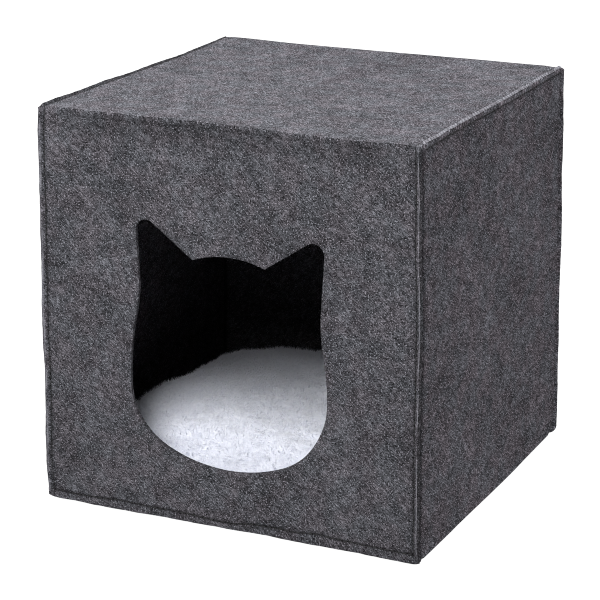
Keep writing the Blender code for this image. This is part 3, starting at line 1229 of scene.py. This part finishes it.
@dataclass(frozen=True)
class FeltFinish:
    """Charcoal needle felt: short pale fibres lying about in a dark, cloudy ground."""

    name: str
    ground: float = 0.0155
    pale: float = 0.180
    tint: Triple = (1.0, 0.985, 1.10)
    cast: float = 0.25              # how far the hue drifts between warm and cool
    warm: Triple = (1.14, 0.95, 0.99)
    cool: Triple = (0.92, 1.02, 1.06)
    lay: Pair = (1.0, 1.0)
    haze: Grain = Grain(62.0, 4.0, 0.66, 0.20, 0.80)
    cloud: Grain = Grain(15.0, 2.0, 0.5, 0.25, 0.75)
    fine: Grain = Grain(900.0, 2.0, 0.85, 0.42, 0.585)
    speck: Grain = Grain(850.0, 0.0, 0.5, 0.70, 0.78)
    hue: Grain = Grain(45.0, 2.0, 0.6, 0.35, 0.65)
    clump: Grain = Grain(1.0, 1.0, 0.6, 0.38, 0.66)
    # how haze, fine grain and cloud scale the ground: (gain, rest)
    levels: Table = ((0.6, 0.70), (2.55, 0.02), (0.4, 0.80))
    fibre_show: Triple = (0.5, 0.2, 0.35)    # with the haze, with the cloud, everywhere
    fibre_turns: tuple[float, ...] = tuple(map(math.radians, (-48, -56, 44, 82, -14)))
    fibre_shares: tuple[float, ...] = (0.90, 0.75, 0.60, 0.65, 0.55)
    fibre_shift: Pair = (0.37, 0.11)     # from one turn's fibres to the next's
    fibre_length: float = 0.0062
    fibre_width: float = 0.0008
    thick_hair: Pair = (0.61, 0.70)      # levels of the web
    thin_hair: float = 0.026        # distance from the web's middle level
    thin_share: float = 0.60
    clump_scale: Pair = (220.0, 110.0)
    clump_rest: float = 0.3
    speck_share: float = 0.7
    speck_pale: float = 1.6
    # paleness of the painted highlight, then colour and strength of the painted shade, both read
    # from the shade attribute
    highlight_pale: float = 1.5
    dark: float = 0.003
    dark_share: float = 0.9
    relief: Triple = (0.8, 0.6, 0.5)     # of fibres, fine grain and specks
    bump: Pair = (0.8, 0.0006)

    def fibres(self, graph: Graph, place: Socket) -> Socket:
        """Return how much pale fibre shows, from 0 to 1.

        Args:
            graph: the material's nodes.
            place: the flat pattern's position.

        Returns:
            The share.
        """
        found = None
        size = (1 / self.fibre_width, 1 / self.fibre_length, 1.0)
        for index, (turn, share) in enumerate(zip(self.fibre_turns, self.fibre_shares)):
            shift = (self.fibre_shift[0] * index, self.fibre_shift[1] * index, 0)
            web = graph.grain(graph.stretch(place, turn, size, shift), scale=1.0, detail=0.0,
                              flat=True)
            line = web.maths("ABSOLUTE", web - 0.5).between(self.thin_hair, 0.0)
            hair = web.between(*self.thick_hair).most(line * self.thin_share)
            wide = graph.stretch(place, turn, (*self.clump_scale, 1.0), shift)
            clump = self.clump.on(graph, wide) * (1 - self.clump_rest) + self.clump_rest
            layer = hair * clump * share
            found = layer if found is None else found.most(layer)
        return found

    def build(self) -> Material:
        """Build the material.

        Returns:
            The material.
        """
        graph = Graph(self.name)
        place = graph.node("ShaderNodeUVMap", {"uv_map": "pattern"}, {})
        place = graph.stretch(place, 0.0, (*self.lay, 1.0))
        haze, fine, cloud, speck, hue = (grain.on(graph, place) for grain in (
            self.haze, self.fine, self.cloud, self.speck, self.hue))
        fibres = self.fibres(graph, place)
        level = 1.0
        for grain, (gain, rest) in zip((haze, fine, cloud), self.levels):
            level = level * (grain * gain + rest)
        ground = graph.node("ShaderNodeCombineColor", {}, {
            index: level * (self.ground * tint) for index, tint in enumerate(self.tint)})
        with_haze, with_cloud, everywhere = self.fibre_show
        show = haze * with_haze + cloud * with_cloud + everywhere
        shown = graph.blend(fibres * show, ground, grey(self.pale, self.tint))
        shown = graph.blend(speck * self.speck_share, shown,
                            grey(self.pale * self.speck_pale, self.tint))
        cast = graph.blend(hue, grey(1.0, self.warm), grey(1.0, self.cool))
        shown = graph.blend(self.cast, shown, cast, "MULTIPLY")
        # the strips' shade attribute: painted shade above 0, painted highlight below 0
        shade = graph.node("ShaderNodeAttribute", {"attribute_name": "shade"}, {}, "Fac")
        shown = graph.blend(shade * self.dark_share, shown, grey(self.dark))
        shown = graph.blend(shade * -1.0, shown, grey(self.pale * self.highlight_pale, self.tint))
        height = fibres * self.relief[0] + fine * self.relief[1] + speck * self.relief[2]
        graph.feed(Base_Color=shown, Roughness=1.0, Specular_IOR_Level=0.05,
                   Normal=graph.bump(height, *self.bump))
        return graph.material


@dataclass(frozen=True)
class ThreadFinish:
    """Dark sewing thread."""

    name: str = "dark_thread"
    low: float = 0.0084
    high: float = 0.0192
    twist_scale: float = 2400.0

    def build(self) -> Material:
        """Build the material.

        Returns:
            The material.
        """
        graph = Graph(self.name)
        place = graph.node("ShaderNodeTexCoord", {}, {}, "Object")
        twist = graph.grain(place, self.twist_scale, detail=1.0)
        graph.feed(Base_Color=graph.blend(twist, grey(self.low), grey(self.high)),
                   Roughness=0.75, Specular_IOR_Level=0.3,
                   Normal=graph.bump(twist, strength=0.4, distance=0.0002))
        return graph.material


@dataclass(frozen=True)
class PlushFinish:
    """White plush, with painted shade in the hollows between its tufts."""

    name: str = "white_pile"
    base: Rgba = (0.63, 0.645, 0.71, 1.0)
    # painted shade: the colour of the tufts' hollows, where the bump is low
    shade: Rgba = (0.54, 0.555, 0.63, 1.0)
    tuft_scale: float = 330.0
    hair_scale: float = 1300.0
    hair_share: float = 0.35
    levels: Pair = (0.34, 0.60)
    hair_relief: float = 0.4        # the hairs' height in the bump, where the tufts' is 1
    softness: float = 0.85          # share of the light that spreads among the hairs
    spread: float = 0.006

    def build(self) -> Material:
        """Build the material.

        Returns:
            The material.
        """
        graph = Graph(self.name)
        place = graph.node("ShaderNodeTexCoord", {}, {}, "Object")
        tuft = graph.grain(place, self.tuft_scale, detail=3.0, rough=0.6)
        hair = graph.grain(place, self.hair_scale, rough=0.6)
        # painted shade: where the tufts' bump is low the colour goes towards the shade colour
        depth = (tuft * (1 - self.hair_share) + hair * self.hair_share).between(*self.levels)
        graph.feed(Base_Color=graph.blend(depth, self.shade, self.base), Roughness=0.9,
                   Specular_IOR_Level=0.2, Sheen_Weight=0.3, Sheen_Roughness=0.5,
                   Subsurface_Weight=self.softness, Subsurface_Scale=self.spread,
                   Subsurface_Radius=(1.0, 1.0, 1.0),
                   Normal=graph.bump(tuft + hair * self.hair_relief, strength=0.6,
                                     distance=0.002))
        return graph.material


# ---------------------------------------------------------------- seam stitches


@dataclass
class SeamStitching:
    """The thread along both faces of the seam, one stitch after another."""

    strips: list[FeltStrip]
    length: float = 0.0040
    thickness: float = 0.0009
    sunk: float = 0.0001
    sides: int = 6
    rings: int = 5
    batch: int = 16                 # adding to a small mesh is quick

    def stitch(self, bm: BMesh, start: Vector, end: Vector) -> None:
        """Add one stitch, a small rounded bead of thread.

        Args:
            bm: the mesh to add it to.
            start: one needle hole.
            end: the next.
        """
        way = end - start
        turn = way.to_track_quat("Z", "Y").to_matrix().to_4x4()
        size = Matrix.Diagonal((self.thickness / 2, self.thickness / 2, way.length / 2, 1))
        place = Matrix.Translation((start + end) / 2) @ turn @ size
        bmesh.ops.create_uvsphere(bm, u_segments=self.sides, v_segments=self.rings, radius=1,
                                  matrix=place)

    def groove_point(self, strip: FeltStrip, along: float, side_s: int, side_t: int) -> Vector:
        """Return the bottom of the stitched groove.

        Args:
            strip: the felt strip.
            along: the position along a quarter of its seam.
            side_s: which side of it, across.
            side_t: which end of it, along.

        Returns:
            The point in space.
        """
        quarter = strip.corner * math.pi / 2
        if along <= strip.centre_t:
            flat, turn = Vector((strip.centre_s, along)), 0.0
        elif along <= strip.centre_t + quarter:
            flat = Vector((strip.centre_s, strip.centre_t))
            turn = (along - strip.centre_t) / strip.corner
        else:
            flat = Vector((strip.centre_s - (along - strip.centre_t - quarter), strip.centre_t))
            turn = math.pi / 2
        start, end, _ = strip.reach(strip.corner_place(side_s * flat.x, side_t * flat.y, turn))
        flat += Vector((math.cos(turn), math.sin(turn))) * (start + end) / 2
        return strip.fold(Vector((side_s * flat.x, side_t * flat.y,
                                  strip.box.felt + self.sunk)))

    def build(self) -> Object:
        """Sew both strips.

        Returns:
            The stitches, as one piece.
        """
        whole = bmesh.new()
        for strip in self.strips:
            total = strip.centre_t + strip.corner * math.pi / 2 + strip.centre_s
            count = round(total / strip.stitch_pitch)
            for side_s, side_t in ((-1, -1), (-1, 1), (1, -1), (1, 1)):
                for first in range(0, count, self.batch):
                    batch = bmesh.new()
                    for number in range(first, min(count, first + self.batch)):
                        middle = (number + 0.5) * strip.stitch_pitch
                        ends = [self.groove_point(strip, clamp(middle + part * self.length / 2,
                                                               0.0, total), side_s, side_t)
                                for part in (-1, 1)]
                        self.stitch(batch, *ends)
                    append(whole, batch)
        return make_piece("seam_stitches", whole, crease_degrees=60)


# ---------------------------------------------------------------- cushion


@dataclass
class PlushCushion:
    """The loose cushion: a pillow that the filling pushes out, with a short white pile."""

    node: str = "plush_cushion"
    voxel: float = 0.005
    merge: float = 0.00001
    shrink: Triple = (0.985, 0.985, 0.97)   # room for the pad to swell
    pressure: float = 4.0
    frames: int = 20
    cap: float = 0.010
    # the pile's waves: (height, size, seed)
    tufts: tuple[Triple, ...] = ((0.0016, 0.0065, 4.0), (0.00192, 0.018, 6.0))
    side_from: float = 0.004        # the pile starts this far over the floor,
    side_run: float = 0.010         # and is full this far above that
    loft: float = 0.001             # the pile's height over the solid
    left_loft: float = 0.010        # more at the front left, where the cushion is pushed up
    push_left: Pair = (0.01, 0.09)     # how far left that starts, and its run
    push_front: Pair = (-0.06, 0.12)   # how far to the front that starts, and its run

    def build(self, frame: dict[str, Any]) -> Object:
        """Swell the cushion from a copy of its CAD solid.

        Args:
            frame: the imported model.

        Returns:
            The cushion's piece.
        """
        solid = frame["nodes"][self.node]
        bm = bmesh.new()
        bm.from_mesh(solid.data)
        bmesh.ops.remove_doubles(bm, verts=bm.verts, dist=self.merge)
        low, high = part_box(self.node)
        middle = (low + high) / 2
        grow = Matrix.Translation(middle) @ Matrix.Diagonal(
            (*self.shrink, 1)) @ Matrix.Translation(-middle)
        bmesh.ops.transform(bm, matrix=grow, verts=bm.verts)
        piece = make_piece("cushion_plush", bm, crease_degrees=180)
        remesh = piece.modifiers.new("Even cloth", "REMESH")
        remesh.mode = "VOXEL"
        remesh.voxel_size = self.voxel
        self.keep_result(piece)
        self.swell(piece)
        smooth = piece.modifiers.new("Round", "SUBSURF")
        smooth.levels = smooth.render_levels = 1
        self.keep_result(piece)
        self.ruffle(piece, low.z)
        piece.data.shade_smooth()
        return piece

    def ruffle(self, piece: Object, floor: float) -> None:
        """Raise the pile and its tufts on all but the underside.

        Args:
            piece: the cushion.
            floor: the height it lies at.
        """
        bm = bmesh.new()
        bm.from_mesh(piece.data)
        bm.normal_update()
        normals = [vert.normal.copy() for vert in bm.verts]
        for vert, normal in zip(bm.verts, normals):
            up = clamp((vert.co.z - floor - self.side_from) / self.side_run)
            lift = sum(tuft * wander(vert.co, size, seed) for tuft, size, seed in self.tufts)
            vert.co += normal * lift * up
            pushed = ramp(-vert.co.x, *self.push_left) * ramp(-vert.co.y, *self.push_front)
            vert.co.z += (self.loft + self.left_loft * pushed) * up * max(0.0, normal.z)
            vert.co.z = max(vert.co.z, floor)
        bm.to_mesh(piece.data)
        bm.free()

    def keep_result(self, piece: Object) -> None:
        """Replace a mesh by what its modifiers make of it.

        Args:
            piece: the piece whose mesh it is.
        """
        graph = bpy.context.evaluated_depsgraph_get()
        mesh = bpy.data.meshes.new_from_object(piece.evaluated_get(graph))
        piece.modifiers.clear()
        piece.data = mesh

    def swell(self, piece: Object) -> None:
        """Let the filling push the cloth out, no further than the cap.

        Args:
            piece: the cushion.
        """
        before = [vert.co.copy() for vert in piece.data.vertices]
        cloth = piece.modifiers.new("Filling", "CLOTH")
        cloth.settings.use_pressure = True
        cloth.settings.uniform_pressure_force = self.pressure
        cloth.settings.effector_weights.gravity = 0
        scene = bpy.context.scene
        for number in range(1, self.frames + 1):
            scene.frame_set(number)
        self.keep_result(piece)
        scene.frame_set(1)
        for vert, start in zip(piece.data.vertices, before):
            way = vert.co - start
            if way.length > self.cap:
                vert.co = start + way * (self.cap / way.length)


@dataclass
class CushionPile:
    """The plush's hairs, leaning in tufts over the top of the cushion."""

    count: int = 26000
    length: float = 0.0050
    shortest: float = 0.6           # shares of that length
    longest: float = 1.2
    thickness: float = 0.0006
    sunk: float = 0.33              # share of a hair that is in the cushion
    lean: float = 1.5
    scatter: float = 0.40
    clump: float = 0.013
    steepest: float = 0.15          # no hairs where the cushion's face points up less
    batch: int = 100
    seed: int = 7

    def build(self, cushion: Object) -> Object:
        """Grow the hairs.

        Args:
            cushion: the piece that they grow on.

        Returns:
            The hairs, as one piece.
        """
        picker = random.Random(self.seed)
        mesh = cushion.data
        faces = [face for face in mesh.polygons if face.normal.z > self.steepest]
        chosen = picker.choices(faces, weights=[face.area for face in faces], k=self.count)
        whole = bmesh.new()
        for first in range(0, self.count, self.batch):
            tuft = bmesh.new()
            for face in chosen[first:first + self.batch]:
                self.add_hair(tuft, mesh, face, picker)
            append(whole, tuft)
        return make_piece("cushion_pile", whole, crease_degrees=60)

    def add_hair(self, bm: BMesh, mesh: Mesh,
                 face: MeshPolygon, picker: random.Random) -> None:
        """Add one tapered hair to a face of the cushion.

        Args:
            bm: the mesh to add it to.
            mesh: the cushion's mesh.
            face: the face that it grows on.
            picker: the source of its unevenness.
        """
        ends = [mesh.vertices[index].co for index in face.vertices]
        shares = [picker.random() for _ in ends]
        root = sum((end * share for end, share in zip(ends, shares)), Vector()) / sum(shares)
        flow = Vector([wander(root, self.clump, seed) for seed in (21.0, 22.0, 23.0)])
        loose = Vector([picker.uniform(-1, 1) for _ in range(3)])
        way = (face.normal + flow * self.lean + loose * self.scatter).normalized()
        if way.z < 0:
            way.z = -way.z
        length = self.length * picker.uniform(self.shortest, self.longest)
        turn = way.to_track_quat("Z", "Y").to_matrix().to_4x4()
        middle = root + way * length * (0.5 - self.sunk)
        bmesh.ops.create_cone(bm, cap_ends=True, segments=3, radius1=self.thickness / 2,
                              radius2=0.0, depth=length,
                              matrix=Matrix.Translation(middle) @ turn)


# ---------------------------------------------------------------- the studio


@dataclass(frozen=True)
class Studio:
    """A pale floor, soft lights and the camera. Its angles are in degrees."""

    target: Triple = (-0.0110, 0.0, 0.1471)
    azimuth: float = 24.97
    elevation: float = 17.25
    distance: float = 1.8722
    lens: float = 133.0
    sensor: float = 36.0
    clip: Pair = (0.05, 60.0)
    floor_size: float = 12.0
    floor_level: float = 0.06
    floor_glow: float = 1.0
    softbox_size: float = 1.10
    softbox_distance: float = 1.6
    sky: float = 0.20
    filter_width: float = 1.1       # narrow, as the photograph is crisp

    def place(self, name: str, data: Camera | Light, azimuth: float, elevation: float,
              distance: float) -> Object:
        """Place a camera or light, facing the object.

        Args:
            name: its name.
            data: the camera or light.
            azimuth: where it stands, to the right of the front.
            elevation: how high it stands.
            distance: how far from the object it stands.

        Returns:
            Its object.
        """
        turn, height = math.radians(azimuth), math.radians(elevation)
        way = Vector((math.sin(turn) * math.cos(height), -math.cos(turn) * math.cos(height),
                      math.sin(height)))
        placed = bpy.data.objects.new(name, data)
        bpy.context.scene.collection.objects.link(placed)
        placed.location = Vector(self.target) + way * distance
        placed.rotation_euler = way.to_track_quat("Z", "Y").to_euler()
        return placed

    def add_camera(self) -> None:
        """Place the camera at the photograph's viewing angle."""
        data = bpy.data.cameras.new("camera")
        data.lens = self.lens
        data.sensor_width = self.sensor
        data.clip_start, data.clip_end = self.clip
        bpy.context.scene.camera = self.place("camera", data, self.azimuth, self.elevation,
                                              self.distance)

    def add_light(self, name: str, azimuth: float, elevation: float, strength: float,
                  spread: float) -> None:
        """Add a wide, soft, far light.

        Args:
            name: its name.
            azimuth: where it stands, to the right of the front.
            elevation: how high it stands.
            strength: how strong it is, 1 showing a white board as white.
            spread: how wide it looks.
        """
        data = bpy.data.lights.new(name, "SUN")
        data.energy = strength * math.pi
        data.angle = math.radians(spread)
        self.place(name, data, azimuth, elevation, self.softbox_distance)

    def add_softbox(self, name: str, azimuth: float, elevation: float,
                    strength: float) -> None:
        """Add a square softbox close to the object.

        Args:
            name: its name.
            azimuth: where it stands, to the right of the front.
            elevation: how high it stands.
            strength: how strong it is, 1 showing a white board as white.
        """
        data = bpy.data.lights.new(name, "AREA")
        data.energy = strength * (math.pi * self.softbox_distance) ** 2
        data.size = self.softbox_size
        self.place(name, data, azimuth, elevation, self.softbox_distance)

    def add_floor(self) -> None:
        """Lay the pale floor."""
        bm = bmesh.new()
        bmesh.ops.create_grid(bm, x_segments=1, y_segments=1, size=self.floor_size / 2)
        floor = make_piece("floor", bm, crease_degrees=30)
        graph = Graph("pale_floor")
        graph.feed(Base_Color=grey(self.floor_level), Roughness=0.9, Specular_IOR_Level=0.0,
                   Emission_Color=grey(1.0), Emission_Strength=self.floor_glow)
        floor.data.materials.append(graph.material)

    def build(self) -> None:
        """Set up the camera, lights, sky and floor."""
        self.add_camera()
        self.add_floor()
        self.add_softbox("key_light", azimuth=-5, elevation=46, strength=1.68)
        self.add_light("overhead_light", azimuth=-112, elevation=62, strength=2.30, spread=30)
        self.add_light("side_light", azimuth=100, elevation=15, strength=0.83, spread=60)
        world = bpy.data.worlds.new("studio_sky")
        world.use_nodes = True
        background = world.node_tree.nodes["Background"]
        background.inputs["Color"].default_value = (1, 1, 1, 1)
        background.inputs["Strength"].default_value = self.sky
        scene = bpy.context.scene
        scene.world = world
        scene.view_settings.view_transform = "Standard"
        scene.cycles.denoising_prefilter = "NONE"
        scene.cycles.filter_width = self.filter_width


# ---------------------------------------------------------------- making it all


def dress(piece: Object, finish: FeltFinish | ThreadFinish | PlushFinish) -> None:
    """Give a piece its finish and material slot, and let it ride on the body.

    Args:
        piece: the piece.
        finish: its finish.
    """
    piece.data.materials.clear()
    piece.data.materials.append(finish.build())
    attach(piece, BODY)
    count = sum(len(face.vertices) - 2 for face in piece.data.polygons)
    LOG.info("%s: %d triangles", piece.name, count)


def main() -> None:
    """Build every piece in order."""
    logging.basicConfig(level=logging.INFO, format="%(message)s")
    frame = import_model()
    Studio().build()
    box = CaveBox()
    strips = [FeltStrip(box, Strip.WRAP), FeltStrip(box, Strip.CRADLE)]
    finishes = {Strip.WRAP: FeltFinish("charcoal_felt_wrap"),
                Strip.CRADLE: FeltFinish("charcoal_felt_cradle", ground=0.0135, pale=0.185,
                                         tint=(1.0, 0.955, 1.08), cast=0.36, lay=(0.70, 1.0))}
    for strip in strips:
        piece = strip.build()
        dress(piece, finishes[strip.strip])
        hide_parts(strip.strip.value)
    stitches = SeamStitching(strips).build()
    dress(stitches, ThreadFinish())
    cushion = PlushCushion().build(frame)
    dress(cushion, PlushFinish())
    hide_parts("plush_cushion")
    pile = CushionPile().build(cushion)
    # the hairs' painted shade in the tufts' hollows is paler than the cushion's
    tips = PlushFinish("white_pile_tips", shade=(0.59, 0.605, 0.675, 1.0), softness=0.0)
    dress(pile, tips)
    strips[0].flat_size
    strips[1].flat_size


if __name__ == "__main__":
    main()
